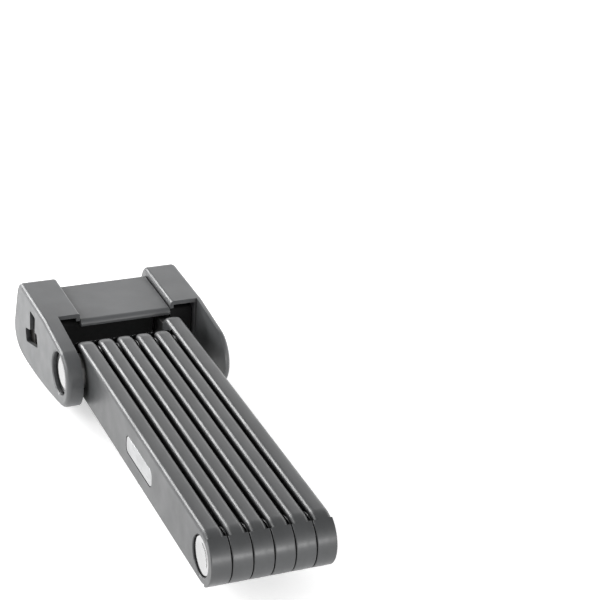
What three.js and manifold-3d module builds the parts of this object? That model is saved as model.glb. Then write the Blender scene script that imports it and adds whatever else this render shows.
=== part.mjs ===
// A folding lock: six flat links riveted side by side, one end held in a forked lock body.
// Millimetres. X runs across the stack of links, Y along them towards the lock body, +Z is up.
import * as THREE from "three";
import { mergeVertices } from "three/addons/utils/BufferGeometryUtils.js";
import Module from "manifold-3d";

const wasm = await Module();
wasm.setup();

// ---- Driving dimensions ----
const LINK_COUNT = 6;
const LINK_CENTRES = 142; // between the two rivet axes of one link
const LINK_HALF_WIDTH = 11.5;
const CORE_THICKNESS = 5; // hardened flat bar inside each link
const COVER_FACE = 1.15; // soft cover over the flat sides of the bar, at its round ends
const COVER_EDGE = 1.5; // soft cover round the edges of the bar
const COVER_ROUND = 1.8; // rounding of a cover's long edges between its round ends
const END_ROUND = 0.5; // rounding of a cover's round ends
const WAIST = 0.6; // a cover's inner faces are lower than its round ends by this much
const TIP_START = 5; // a full-thickness tip starts this far past its rivet's axis
const PAD_MARGIN = 1.5; // full-thickness ring outside each head's pocket
const LINK_GAP = 0.3; // air between neighbouring links
const FIT = 0.3; // air between a piece and the one it sits in

const RIVET_RADIUS = 4.5;
const RIVET_HEAD_RADIUS = 7.6;
const RIVET_HEAD_HEIGHT = 2;
const HEAD_SETBACK = 0.1; // a hidden head sits this far below the face round it
const HEAD_CHAMFER = 0.5;
const SHOWN_HEAD_SINK = 0.7; // the shown head's face below the first link's
const DISH_RADIUS = 5.4; // shallow dish turned in each rivet's left head
const DISH_DEPTH = 0.7;
const DISH_INNER_RADIUS = 2.4;
const DISH_INNER_DEPTH = 0.56;
const WASHER_RADIUS = 7.3;
const EAR_HEAD_RADIUS = 8.6; // the shown head in the left ear
const EAR_HEAD_SINK = 1.8; // its face below the ear's

const LABEL_LENGTH = 29.5;
const LABEL_HEIGHT = 7.2;
const LABEL_CORNER = 2.4;
const LABEL_THICKNESS = 0.6;
const LABEL_SETBACK = 0.1;
const LABEL_AT = 67.5; // its centre, from the far rivet

const LEFT_EAR = 6.8; // thickness of the ear that carries the keyhole
const RIGHT_EAR = 2.4; // a plain cheek in front of the wide part
const LEFT_EAR_GAP = 2.3; // air between the left ear and the first link
const RIGHT_EAR_GAP = 10.7; // air between the last link and the right ear
const EAR_MARGIN = 1.2; // the ears' round nose over the links' half width
const EAR_DROP = 1.7; // the nose's centre below the hinge axis
const EAR_SHELL = 1.8; // cover round the edge of an ear's steel plate
const EAR_FACE = 3.3; // cover over the flat of an ear's steel plate
const EAR_BEVEL = 1.2;
const INNER_BEVEL = 0.6;
const EAR_NOSE_LEAN = 0.12; // radians the nose's arc stops short of the vertical at each end
const EAR_CORNER = 10; // size of the corner between the top and the back
const EAR_BACK_HIGH = 0.7; // the slanted back's upper end, as a share of the height
const EAR_BACK_LOW = 0.35; // and its lower end
const EAR_BACK_LEAN = 3; // how far its upper end comes forward
const EAR_BACK_PULL = 5;
const EAR_BELLY = 26.6; // where the underside's curve is pulled to, from the hinge axis
const EAR_HEEL = 16; // flat underside ends this far in front of the back
const BODY_REACH = 66.4; // from the hinge axis to the back of the body
const TOP_MARGIN = 2; // top of the body over the links' half width
const BOTTOM_MARGIN = 8.3;
const SHOULDER = 23.5; // from the hinge axis to the front of the wide part
const SHOULDER_INSET = 7.3; // how far the wide part comes in over the left links
const SHOULDER_RIGHT_LAP = 1.3; // how far the right one comes in over the last link

const BARREL_REACH = 56.5; // from the hinge axis to the back of the middle part
const BARREL_FRONT = 22.2;
const BARREL_STEP = 2.9; // top of the middle part below the top of the ears
const BARREL_RISE = 1; // its underside above that of the ears
const BARREL_WALL = 1.8;
const BARREL_LIP = 4; // cover wall in front of the steel
const BARREL_EDGE = 2.2; // rounding of its long edges
const BARREL_LAP = 0.5; // how far the wide parts' inner walls cover its outline
const INNER_WALL = 1.5; // thickness of those walls
const WINDOW_TOP = 2.6; // open front, below the top of the middle part
const WINDOW_BASE = 5; // and above its underside

const TONGUE_STEP = 3.2; // the tongue is this much lower than the bar at each edge
const TONGUE_COVER_REACH = 18; // how far the last link's cover passes the hinge axis
const TONGUE_END_ROUND = 6;
const BOLT_FROM_HINGE = 31;
const BOLT_RADIUS = 2.6;
const BOLT_TRAVEL = 11;
const TONGUE_WEB = 5; // steel left beyond the bolt's centre
const SLOT_SIDE = 1.5; // air on either side of the tongue
const SLOT_END = 0.8;
const SLOT_ROOF = 0.5;
const KEEPER_DEPTH = 3; // bolt hole in the steel past the slot

const PLUG_FROM_HINGE = 39;
const BORE_ROOF = 1.2; // steel over the cylinder's bore
const PLUG_RADIUS = 6.2;
const CYLINDER_WALL = 2.5;
const FACE_WALL = 1.8; // cover left in front of the cylinder
const CYLINDER_BACK = 2.7; // its inner end wall
const TAIL_SIDE = 4;
const TAIL_HOLE = 3.3;
const TAIL_REACH = 5; // tail inside the cam
const TAIL_ROOT = 1; // tail sunk in the plug
const CAM_WALL = 2.9; // steel between the cam and the tongue's slot
const CAM_RADIUS = 4.6;
const CAM_MARGIN = 2.5; // cam beyond the groove's centre line at each end
const CAM_GAP = 0.8; // between the cylinder body and the cam
const GROOVE_DEPTH = 2;
const FOLLOWER_RADIUS = 1;
const FOLLOWER_BLOCK = 4;
const GROOVE_STEPS = 10;
const KEYWAY_WIDTH = 2.6;
const KEYWAY_HEIGHT = 9.4;
const KEYWAY_DEPTH = 21;
const KEYHOLE_STEM = 7.2; // width of the keyhole's upright slot
const KEYHOLE_RISE = 10.4; // its top above the plug's axis
const KEYHOLE_SHIFT = -1.2; // its centre from the plug's axis
const KEYHOLE_FOOT = 17.4; // length of the wider slot under it
const KEYHOLE_FOOT_HEIGHT = 6.2;
const KEYHOLE_FOOT_DROP = 1.4;
const KEYHOLE_LEAN = 0.3;
const PIN_RADIUS = 1.2;
const PIN_DEPTH = 1.6; // into the cylinder body's wall
const PIN_AT = 8; // from the first link's face
const KEY_TURN = Math.PI / 2;

// ---- Derived sizes ----
const CORE_SIDE = COVER_FACE + FIT;
const LINK_THICKNESS = CORE_THICKNESS + 2 * CORE_SIDE;
const PITCH = LINK_THICKNESS + LINK_GAP;
const STACK = LINK_COUNT * PITCH - LINK_GAP;
const CORE_HALF_WIDTH = LINK_HALF_WIDTH - COVER_EDGE - FIT;
const HINGE = LINK_CENTRES;

const LEFT_IN = -LEFT_EAR_GAP;
const LEFT_OUT = LEFT_IN - LEFT_EAR;
const RIGHT_IN = STACK + RIGHT_EAR_GAP;
const RIGHT_OUT = RIGHT_IN + RIGHT_EAR;
const LEFT_PLATE = LEFT_OUT + EAR_FACE + FIT;
const RIGHT_PLATE = RIGHT_OUT - EAR_FACE - FIT;
const BODY_TOP = LINK_HALF_WIDTH + TOP_MARGIN;
const BODY_BOTTOM = -LINK_HALF_WIDTH - BOTTOM_MARGIN;
const BODY_BACK = HINGE + BODY_REACH;
const NOSE_RADIUS = LINK_HALF_WIDTH + EAR_MARGIN;

const BARREL_TOP = BODY_TOP - BARREL_STEP;
const BARREL_BOTTOM = BODY_BOTTOM + BARREL_RISE;
const BARREL_LEFT = SHOULDER_INSET + FIT;
const RIGHT_SHOULDER = STACK - SHOULDER_RIGHT_LAP;
const BARREL_RIGHT = RIGHT_SHOULDER - FIT;

const LAST_X = (LINK_COUNT - 1) * PITCH;
const TONGUE_HALF_HEIGHT = CORE_HALF_WIDTH - TONGUE_STEP;
const TONGUE_TIP = BOLT_FROM_HINGE + TONGUE_WEB;
const SLOT_LEFT = LAST_X + CORE_SIDE - SLOT_SIDE;
const SLOT_RIGHT = STACK - CORE_SIDE + SLOT_SIDE;
const SLOT_BACK = HINGE + Math.hypot(TONGUE_TIP, TONGUE_HALF_HEIGHT / 2) + SLOT_END;

const PLUG_Y = HINGE + PLUG_FROM_HINGE;
const BORE_RADIUS = PLUG_RADIUS + FIT;
const CYLINDER_RADIUS = BORE_RADIUS + CYLINDER_WALL;
const CYLINDER_FACE = LEFT_OUT + FACE_WALL + FIT;
const CAM_END = SLOT_LEFT - CAM_WALL;
const FOLLOWER_X = CAM_END - CAM_MARGIN - BOLT_TRAVEL; // with the bolt withdrawn
const CAM_START = FOLLOWER_X - CAM_MARGIN;
const CYLINDER_END = CAM_START - CAM_GAP;
const BOLT_Y = HINGE + BOLT_FROM_HINGE;
const HOUSING_FRONT = HINGE + BARREL_FRONT + BARREL_LIP + FIT;
const HOUSING_BACK = HINGE + BARREL_REACH - BARREL_WALL - FIT;
const HOUSING_TOP = BARREL_TOP - BARREL_WALL - FIT;
const HOUSING_BOTTOM = BARREL_BOTTOM + BARREL_WALL + FIT;
const PLUG_Z = HOUSING_TOP - BORE_ROOF - FIT - CYLINDER_RADIUS;
const BLOCK_HALF = FOLLOWER_RADIUS + FIT;
const BLOCK_TOP = Math.max(PLUG_Z + BLOCK_HALF, -BOLT_RADIUS / 2); // always meets the bolt
const PAST = 5; // how far a cutter passes the face it starts from
const SIDES = 20; // flats round a bore or a bar
const FOLLOWER_SIDES = 12;

// ---- Colours, roughness and metalness ----
const BAR_STEEL = [0x6f7275, 0.42, 1];
const LINK_PLASTIC = [0x3b3d3f, 0.5, 0];
const BODY_PLASTIC = [0x4a4c4f, 0.42, 0];
const POLISHED_STEEL = [0xc9ccd0, 0.18, 1];
const GROUND_STEEL = [0x8d8f92, 0.4, 1];
const BOLT_STEEL = [0xb4b7ba, 0.3, 1];
const BLACK_STEEL = [0x2b2c2e, 0.5, 1];
const DARK_BRASS = [0x4d4638, 0.4, 1];
const SILVER_WHITE = [0xe3e5e8, 0.35, 0];

// ---- Geometry helpers ----
// Any position-only geometry as a manifold solid.
function solid(geometry) {
  const bare = new THREE.BufferGeometry();
  const flat = geometry.index ? geometry.toNonIndexed() : geometry;
  bare.setAttribute("position", flat.getAttribute("position"));
  const merged = mergeVertices(bare, 1e-4);
  return new wasm.Manifold(
    new wasm.Mesh({
      numProp: 3,
      vertProperties: merged.attributes.position.array,
      triVerts: new Uint32Array(merged.index.array),
    }),
  );
}

const cut = (first, ...rest) => rest.reduce((all, one) => all.subtract(one), first);
const join = (first, ...rest) => rest.reduce((all, one) => all.add(one), first);

const CROSSWISE = new THREE.Matrix4().makeBasis(
  new THREE.Vector3(0, 1, 0),
  new THREE.Vector3(0, 0, 1),
  new THREE.Vector3(1, 0, 0),
);

// A (Y, Z) shape drawn out along X from x0 to x1, both end edges bevelled if asked.
function slab(shape, x0, x1, { bevel = 0, steps = 1, segments = 5 } = {}) {
  const geometry = new THREE.ExtrudeGeometry(shape, {
    depth: x1 - x0 - 2 * bevel,
    curveSegments: segments,
    bevelEnabled: bevel > 0,
    bevelThickness: bevel,
    bevelSize: bevel,
    bevelOffset: -bevel,
    bevelSegments: steps,
  });
  geometry.applyMatrix4(CROSSWISE);
  geometry.translate(x0 + bevel, 0, 0);
  return solid(geometry);
}

// A round bar along X.
function rod(x0, x1, y, z, radius, sides = SIDES) {
  const geometry = new THREE.CylinderGeometry(radius, radius, x1 - x0, sides);
  geometry.rotateZ(-Math.PI / 2);
  geometry.translate((x0 + x1) / 2, y, z);
  return solid(geometry);
}

// A box between two corners.
function box(x0, y0, z0, x1, y1, z1) {
  const geometry = new THREE.BoxGeometry(x1 - x0, y1 - y0, z1 - z0);
  geometry.translate((x0 + x1) / 2, (y0 + y1) / 2, (z0 + z1) / 2);
  return solid(geometry);
}

// A ring along X, as one turned profile.
function ring(x0, x1, y, z, inner, outer, sides = SIDES) {
  return cut(rod(x0, x1, y, z, outer, sides), rod(x0 - PAST, x1 + PAST, y, z, inner, sides));
}

// A bar's outline: straight edges with a full round at each end.
function stadium(halfWidth, y0, y1) {
  const shape = new THREE.Shape();
  shape.absarc(y1, 0, halfWidth, -Math.PI / 2, Math.PI / 2, false);
  shape.absarc(y0, 0, halfWidth, Math.PI / 2, (3 * Math.PI) / 2, false);
  shape.closePath();
  return shape;
}

// A bar's outline with a full round at y0 and two rounded corners at y1.
function blunt(halfWidth, y0, y1, corner) {
  const shape = new THREE.Shape();
  shape.absarc(y1 - corner, corner - halfWidth, corner, -Math.PI / 2, 0, false);
  shape.absarc(y1 - corner, halfWidth - corner, corner, 0, Math.PI / 2, false);
  shape.absarc(y0, 0, halfWidth, Math.PI / 2, (3 * Math.PI) / 2, false);
  shape.closePath();
  return shape;
}

// A rectangle with rounded corners.
function rounded(y0, z0, y1, z1, corner) {
  const shape = new THREE.Shape();
  shape.absarc(y1 - corner, z0 + corner, corner, -Math.PI / 2, 0, false);
  shape.absarc(y1 - corner, z1 - corner, corner, 0, Math.PI / 2, false);
  shape.absarc(y0 + corner, z1 - corner, corner, Math.PI / 2, Math.PI, false);
  shape.absarc(y0 + corner, z0 + corner, corner, Math.PI, (3 * Math.PI) / 2, false);
  shape.closePath();
  return shape;
}

// The ears' side outline, moved in by inset all round.
function ear(inset) {
  const radius = NOSE_RADIUS - inset;
  const top = BODY_TOP - inset;
  const bottom = BODY_BOTTOM + inset;
  const back = BODY_BACK - inset;
  const backHigh = bottom + EAR_BACK_HIGH * (top - bottom);
  const backLow = bottom + EAR_BACK_LOW * (top - bottom);
  const start = Math.PI / 2 + EAR_NOSE_LEAN;
  const shape = new THREE.Shape();
  shape.absarc(HINGE, -EAR_DROP, radius, start, 2 * Math.PI - start, false);
  shape.quadraticCurveTo(HINGE + EAR_BELLY, bottom, back - EAR_HEEL, bottom);
  shape.quadraticCurveTo(back, bottom, back, backLow);
  shape.lineTo(back - EAR_BACK_LEAN, backHigh);
  shape.quadraticCurveTo(back - EAR_BACK_PULL, top, back - EAR_CORNER, top);
  shape.lineTo(HINGE + SHOULDER, top);
  shape.closePath();
  return shape;
}

// ---- Links ----
const linkX = (index) => index * PITCH;

// The round pocket a rivet's head sits in, cut into the bar from the cover's face.
function headPocket(face, inward, y, sink = HEAD_SETBACK) {
  const depth = RIVET_HEAD_HEIGHT + sink + FIT;
  const inner = face + inward * depth;
  const outer = face - inward * PAST;
  return rod(Math.min(inner, outer), Math.max(inner, outer), y, 0, RIVET_HEAD_RADIUS + FIT);
}

const shaftHole = (x, y) =>
  rod(x - PAST, x + LINK_THICKNESS + PAST, y, 0, RIVET_RADIUS + FIT);

// A cover's full-thickness tip: the end of the bar's outline, towards -Y or +Y.
function tip(y, outward) {
  const middle = outward > 0 ? 0 : Math.PI;
  const sweep = Math.acos(TIP_START / LINK_HALF_WIDTH);
  const shape = new THREE.Shape();
  shape.absarc(y, 0, LINK_HALF_WIDTH, middle - sweep, middle + sweep, false);
  shape.closePath();
  return shape;
}

const farSide = (x) => x + LINK_THICKNESS;
const leftHeadSink = (index) => (index === 0 ? SHOWN_HEAD_SINK : HEAD_SETBACK);

// The rivet on a link's left side joins it to the part before, the one on its right side to the next.
const leftRivetY = (index) => (index % 2 === 0 ? HINGE : 0);
const rightRivetY = (index) => (index % 2 === 0 ? 0 : HINGE);

function core(index) {
  const x = linkX(index);
  const last = index === LINK_COUNT - 1;
  let body = slab(stadium(CORE_HALF_WIDTH, 0, HINGE), x + CORE_SIDE, farSide(x) - CORE_SIDE);
  if (last) {
    const tongue = rounded(
      HINGE - CORE_HALF_WIDTH,
      -TONGUE_HALF_HEIGHT,
      HINGE + TONGUE_TIP,
      TONGUE_HALF_HEIGHT,
      TONGUE_HALF_HEIGHT / 2,
    );
    body = join(body, slab(tongue, x + CORE_SIDE, farSide(x) - CORE_SIDE));
    body = cut(body, rod(x - PAST, farSide(x) + PAST, BOLT_Y, 0, BOLT_RADIUS + FIT));
  }
  // The rivet to the link before has its head on this link's right side.
  body = cut(body, shaftHole(x, leftRivetY(index)), headPocket(farSide(x), -1, leftRivetY(index)));
  if (!last) {
    const y = rightRivetY(index);
    body = cut(body, shaftHole(x, y), headPocket(x, 1, y, leftHeadSink(index)));
  }
  return body;
}

function cover(index) {
  const x = linkX(index);
  const last = index === LINK_COUNT - 1;
  const outside = last
    ? blunt(LINK_HALF_WIDTH, 0, HINGE + TONGUE_COVER_REACH, TONGUE_END_ROUND)
    : stadium(LINK_HALF_WIDTH, 0, HINGE);
  const left = x + (index === 0 ? 0 : WAIST);
  const right = farSide(x) - (last ? 0 : WAIST);
  const tips = [tip(0, -1), tip(HINGE, 1)].map((shape) =>
    slab(shape, x, farSide(x), { bevel: END_ROUND, segments: 7 }),
  );
  const padRadius = RIVET_HEAD_RADIUS + FIT + PAD_MARGIN;
  const pads = [0, HINGE].map((y) => rod(x, farSide(x), y, 0, padRadius));
  const bar = slab(outside, left, right, { bevel: COVER_ROUND, steps: 3, segments: 6 });
  let shell = join(bar, ...tips, ...pads);
  const inside = CORE_HALF_WIDTH + FIT;
  shell = cut(shell, slab(stadium(inside, 0, HINGE), x + COVER_FACE, farSide(x) - COVER_FACE));
  if (last) {
    const way = TONGUE_HALF_HEIGHT + FIT;
    shell = cut(
      shell,
      box(x + COVER_FACE, HINGE, -way, farSide(x) - COVER_FACE, HINGE + 2 * TONGUE_TIP, way),
    );
  }
  const washerHole = WASHER_RADIUS + FIT;
  const leftY = leftRivetY(index);
  const rightY = rightRivetY(index);
  const middle = x + LINK_THICKNESS / 2;
  shell = cut(shell, rod(x - PAST, middle, leftY, 0, washerHole));
  shell = cut(shell, rod(middle, farSide(x) + PAST, leftY, 0, RIVET_HEAD_RADIUS + FIT));
  if (!last) {
    shell = cut(shell, rod(middle, farSide(x) + PAST, rightY, 0, washerHole));
    shell = cut(shell, rod(x - PAST, middle, rightY, 0, RIVET_HEAD_RADIUS + FIT));
  }
  if (index === 0) {
    shell = cut(shell, slab(labelShape(FIT), x - PAST, x + COVER_FACE + FIT));
  }
  return shell;
}

const labelShape = (grow) =>
  rounded(
    LABEL_AT - LABEL_LENGTH / 2 - grow,
    -LABEL_HEIGHT / 2 - grow,
    LABEL_AT + LABEL_LENGTH / 2 + grow,
    LABEL_HEIGHT / 2 + grow,
    LABEL_CORNER + grow,
  );

// One rivet: a head at each end, a dish turned in the left one.
function rivet(left, x1, y, headRadius = RIVET_HEAD_RADIUS) {
  const right = x1 - HEAD_SETBACK;
  const profile = [
    [0, left + DISH_DEPTH],
    [DISH_INNER_RADIUS, left + DISH_INNER_DEPTH],
    [DISH_RADIUS, left],
    [headRadius - HEAD_CHAMFER, left],
    [headRadius, left + HEAD_CHAMFER],
    [headRadius, left + RIVET_HEAD_HEIGHT],
    [RIVET_RADIUS, left + RIVET_HEAD_HEIGHT],
    [RIVET_RADIUS, right - RIVET_HEAD_HEIGHT],
    [RIVET_HEAD_RADIUS, right - RIVET_HEAD_HEIGHT],
    [RIVET_HEAD_RADIUS, right],
    [0, right],
  ].map(([radius, x]) => new THREE.Vector2(radius, x));
  const geometry = new THREE.LatheGeometry(profile, SIDES);
  geometry.rotateZ(-Math.PI / 2);
  geometry.translate(0, y, 0);
  return solid(geometry);
}

// The washer in the space between two steel faces.
const washer = (x0, x1, y) =>
  ring(x0 + FIT, x1 - FIT, y, 0, RIVET_RADIUS + FIT, WASHER_RADIUS);

// ---- Lock body ----

const barrelShape = (grow, front) =>
  rounded(
    front - grow,
    HOUSING_BOTTOM - grow,
    HOUSING_BACK + grow,
    HOUSING_TOP + grow,
    BARREL_EDGE,
  );

const tongueSlot = () =>
  box(
    SLOT_LEFT,
    HINGE,
    BODY_BOTTOM - PAST,
    SLOT_RIGHT,
    SLOT_BACK,
    TONGUE_HALF_HEIGHT + SLOT_ROOF,
  );

// The steel crossbar that runs from one ear to the other.
const crossbar = (grow) =>
  slab(barrelShape(grow, HOUSING_FRONT), LEFT_PLATE - grow, RIGHT_PLATE + grow);

// The space inside an ear, open towards the links.
const hollow = (x0, x1) => slab(ear(EAR_SHELL), x0, x1);

// The opening in a wide part's inner wall, which the middle part closes.
const wallOpening = (x0, x1) =>
  hollow(x0, x1).intersect(
    box(
      x0 - PAST,
      HINGE,
      BODY_BOTTOM,
      x1 + PAST,
      HINGE + BARREL_REACH - BARREL_LAP,
      BARREL_TOP - BARREL_LAP,
    ),
  );

const boltChannel = () =>
  rod(CYLINDER_END - FIT, SLOT_RIGHT + KEEPER_DEPTH, BOLT_Y, 0, BOLT_RADIUS + FIT);

function housing() {
  const pinHole = upright(PIN_AT, PLUG_Y, HOUSING_BOTTOM - PAST, PLUG_Z, PIN_RADIUS + FIT);
  const headSeat = LEFT_OUT + EAR_HEAD_SINK + RIVET_HEAD_HEIGHT + FIT;
  const blockWay = box(
    CYLINDER_END - FIT,
    BOLT_Y,
    PLUG_Z - BLOCK_HALF - FIT,
    CAM_END + FIT,
    PLUG_Y,
    BLOCK_TOP + FIT,
  );
  return cut(
    join(slab(ear(EAR_SHELL + FIT), LEFT_PLATE, LEFT_IN), crossbar(0)),
    rod(LEFT_OUT, CYLINDER_END + FIT, PLUG_Y, PLUG_Z, CYLINDER_RADIUS + FIT),
    rod(CYLINDER_END, CAM_END + FIT, PLUG_Y, PLUG_Z, CAM_RADIUS + FIT),
    boltChannel(),
    blockWay,
    pinHole,
    tongueSlot(),
    rod(LEFT_OUT, LEFT_IN + PAST, HINGE, 0, RIVET_RADIUS + FIT),
    rod(LEFT_OUT, headSeat, HINGE, 0, EAR_HEAD_RADIUS + FIT),
  );
}

// A round bar along Z.
function upright(x, y, z0, z1, radius) {
  const geometry = new THREE.CylinderGeometry(radius, radius, z1 - z0, SIDES);
  geometry.rotateX(Math.PI / 2);
  geometry.translate(x, y, (z0 + z1) / 2);
  return solid(geometry);
}

// An ear and its wide back part: the outer edges get the larger bevel, the inner ones the smaller.
function earCover(outer, inner, shoulder) {
  const [x0, x1] = [Math.min(outer, inner), Math.max(outer, inner)];
  const [s0, s1] = [Math.min(outer, shoulder), Math.max(outer, shoulder)];
  const plate = slab(ear(0), x0, x1, { bevel: INNER_BEVEL });
  const wide = slab(ear(0), s0, s1, { bevel: EAR_BEVEL, steps: 2 });
  const [n0, n1] = outer < inner ? [x0, x1 + EAR_BEVEL] : [x0 - EAR_BEVEL, x1];
  const nose = slab(ear(0), n0, n1, { bevel: EAR_BEVEL, steps: 2 });
  const back = box(
    s0 - PAST,
    HINGE + SHOULDER,
    BODY_BOTTOM - PAST,
    s1 + PAST,
    BODY_BACK + PAST,
    BODY_TOP + PAST,
  );
  return cut(join(plate.intersect(nose), wide.intersect(back)), crossbar(FIT), tongueSlot());
}

// The keyhole: an upright slot standing on a wider one that leans with the body.
function keyhole(x0, x1) {
  const stem = box(
    x0,
    PLUG_Y + KEYHOLE_SHIFT - KEYHOLE_STEM / 2,
    PLUG_Z,
    x1,
    PLUG_Y + KEYHOLE_SHIFT + KEYHOLE_STEM / 2,
    PLUG_Z + KEYHOLE_RISE,
  );
  const foot = new THREE.BoxGeometry(x1 - x0, KEYHOLE_FOOT, KEYHOLE_FOOT_HEIGHT);
  foot.rotateX(-KEYHOLE_LEAN);
  foot.translate((x0 + x1) / 2, PLUG_Y, PLUG_Z - KEYHOLE_FOOT_DROP);
  return join(stem, solid(foot));
}

function leftCover() {
  return cut(
    earCover(LEFT_OUT, LEFT_IN, SHOULDER_INSET),
    hollow(LEFT_PLATE - FIT, SHOULDER_INSET - INNER_WALL),
    wallOpening(LEFT_PLATE, BARREL_LEFT),
    rod(LEFT_OUT - PAST, LEFT_IN - PAST / 2, HINGE, 0, EAR_HEAD_RADIUS + 2 * FIT),
    rod(CYLINDER_FACE - FIT, SHOULDER_INSET + PAST, PLUG_Y, PLUG_Z, CYLINDER_RADIUS + FIT),
    keyhole(LEFT_OUT - PAST, CYLINDER_FACE),
  );
}

const rightCover = () =>
  cut(
    earCover(RIGHT_OUT, RIGHT_IN, RIGHT_SHOULDER),
    hollow(RIGHT_SHOULDER + INNER_WALL, RIGHT_PLATE + FIT),
    wallOpening(BARREL_RIGHT, RIGHT_PLATE),
  );

function barrelCover() {
  const outside = rounded(
    HINGE + BARREL_FRONT,
    BARREL_BOTTOM,
    HINGE + BARREL_REACH,
    BARREL_TOP,
    BARREL_EDGE,
  );
  const pinHole = upright(PIN_AT, PLUG_Y, BARREL_BOTTOM - PAST, HOUSING_BOTTOM, PIN_RADIUS + FIT);
  return cut(
    slab(outside, BARREL_LEFT, BARREL_RIGHT, { segments: 6 }),
    slab(barrelShape(FIT, HOUSING_FRONT), BARREL_LEFT - PAST, BARREL_RIGHT + PAST),
    box(
      BARREL_LEFT - PAST,
      HINGE,
      BARREL_BOTTOM + WINDOW_BASE,
      BARREL_RIGHT + PAST,
      HOUSING_FRONT + FIT,
      BARREL_TOP - WINDOW_TOP,
    ),
    tongueSlot(),
    pinHole,
  );
}

// ---- Locking mechanism ----
function cylinderBody() {
  return cut(
    rod(CYLINDER_FACE, CYLINDER_END, PLUG_Y, PLUG_Z, CYLINDER_RADIUS),
    rod(CYLINDER_FACE - PAST, CYLINDER_END - CYLINDER_BACK, PLUG_Y, PLUG_Z, BORE_RADIUS),
    rod(CYLINDER_FACE, CYLINDER_END + PAST, PLUG_Y, PLUG_Z, TAIL_HOLE),
    upright(
      PIN_AT,
      PLUG_Y,
      PLUG_Z - CYLINDER_RADIUS - PAST,
      PLUG_Z - CYLINDER_RADIUS + PIN_DEPTH + FIT,
      PIN_RADIUS + FIT,
    ),
  );
}

function keyPlug() {
  const end = CYLINDER_END - CYLINDER_BACK - FIT;
  const half = TAIL_SIDE / 2;
  return cut(
    join(
      rod(CYLINDER_FACE, end, PLUG_Y, PLUG_Z, PLUG_RADIUS),
      box(
        end - TAIL_ROOT,
        PLUG_Y - half,
        PLUG_Z - half,
        CAM_START + TAIL_REACH,
        PLUG_Y + half,
        PLUG_Z + half,
      ),
    ),
    box(
      CYLINDER_FACE - PAST,
      PLUG_Y - KEYWAY_WIDTH / 2,
      PLUG_Z - KEYWAY_HEIGHT / 2,
      CYLINDER_FACE + KEYWAY_DEPTH,
      PLUG_Y + KEYWAY_WIDTH / 2,
      PLUG_Z + KEYWAY_HEIGHT / 2,
    ),
  );
}

// A drum whose spiral groove moves the bolt along X as the plug turns.
function driveCam() {
  const half = TAIL_SIDE / 2 + FIT;
  let drum = cut(
    rod(CAM_START, CAM_END, PLUG_Y, PLUG_Z, CAM_RADIUS),
    box(
      CAM_START - PAST,
      PLUG_Y - half,
      PLUG_Z - half,
      CAM_START + TAIL_REACH + FIT,
      PLUG_Y + half,
      PLUG_Z + half,
    ),
  );
  const length = GROOVE_DEPTH + PAST;
  const radius = FOLLOWER_RADIUS + FIT;
  for (let step = 0; step <= GROOVE_STEPS; step++) {
    const share = step / GROOVE_STEPS;
    const geometry = new THREE.CylinderGeometry(radius, radius, length, FOLLOWER_SIDES);
    geometry.translate(0, -(CAM_RADIUS - GROOVE_DEPTH + length / 2), 0);
    geometry.rotateX(-KEY_TURN * share);
    geometry.translate(FOLLOWER_X + BOLT_TRAVEL * share, PLUG_Y, PLUG_Z);
    drum = cut(drum, solid(geometry));
  }
  return drum;
}

function lockingBolt() {
  const tip = SLOT_LEFT - FIT;
  const start = FOLLOWER_X - FOLLOWER_BLOCK / 2;
  const blockEnd = PLUG_Y - CAM_RADIUS - FIT;
  const reach = PLUG_Y - CAM_RADIUS + GROOVE_DEPTH - FIT;
  const finger = new THREE.CylinderGeometry(
    FOLLOWER_RADIUS,
    FOLLOWER_RADIUS,
    reach - BOLT_Y,
    FOLLOWER_SIDES,
  );
  finger.translate(FOLLOWER_X, (reach + BOLT_Y) / 2, PLUG_Z);
  return join(
    rod(start, tip, BOLT_Y, 0, BOLT_RADIUS),
    box(start, BOLT_Y, PLUG_Z - BLOCK_HALF, start + FOLLOWER_BLOCK, blockEnd, BLOCK_TOP),
    solid(finger),
  );
}

const cylinderPin = () =>
  upright(
    PIN_AT,
    PLUG_Y,
    HOUSING_BOTTOM + FIT,
    PLUG_Z - CYLINDER_RADIUS + PIN_DEPTH,
    PIN_RADIUS,
  );

// ---- Assembly ----
const lock = new THREE.Group();
const moveX = -(LEFT_OUT + RIGHT_OUT) / 2;
const moveY = -(BODY_BACK - LINK_HALF_WIDTH) / 2;
const moveZ = -BODY_BOTTOM;

function add(name, shape, [color, roughness, metalness]) {
  const { vertProperties, triVerts } = shape.getMesh();
  const geometry = new THREE.BufferGeometry();
  geometry.setAttribute("position", new THREE.BufferAttribute(new Float32Array(vertProperties), 3));
  geometry.setIndex(new THREE.BufferAttribute(new Uint32Array(triVerts), 1));
  geometry.translate(moveX, moveY, moveZ);
  const flat = geometry.toNonIndexed();
  flat.computeVertexNormals();
  const material = new THREE.MeshStandardMaterial({ color, roughness, metalness });
  const mesh = new THREE.Mesh(flat, material);
  mesh.name = name;
  lock.add(mesh);
}

const coreFace = (index) => linkX(index) + CORE_SIDE;
const coreBack = (index) => farSide(linkX(index)) - CORE_SIDE;

for (let index = 0; index < LINK_COUNT; index++) {
  const number = index + 1;
  add(`link_${number}_core`, core(index), BAR_STEEL);
  add(`link_${number}_cover`, cover(index), LINK_PLASTIC);
  if (index < LINK_COUNT - 1) {
    const y = rightRivetY(index);
    const pair = `${number}_${number + 1}`;
    const next = farSide(linkX(index + 1));
    add(`rivet_${pair}`, rivet(linkX(index) + leftHeadSink(index), next, y), POLISHED_STEEL);
    add(`washer_${pair}`, washer(coreBack(index), coreFace(index + 1), y), GROUND_STEEL);
  }
}

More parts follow.
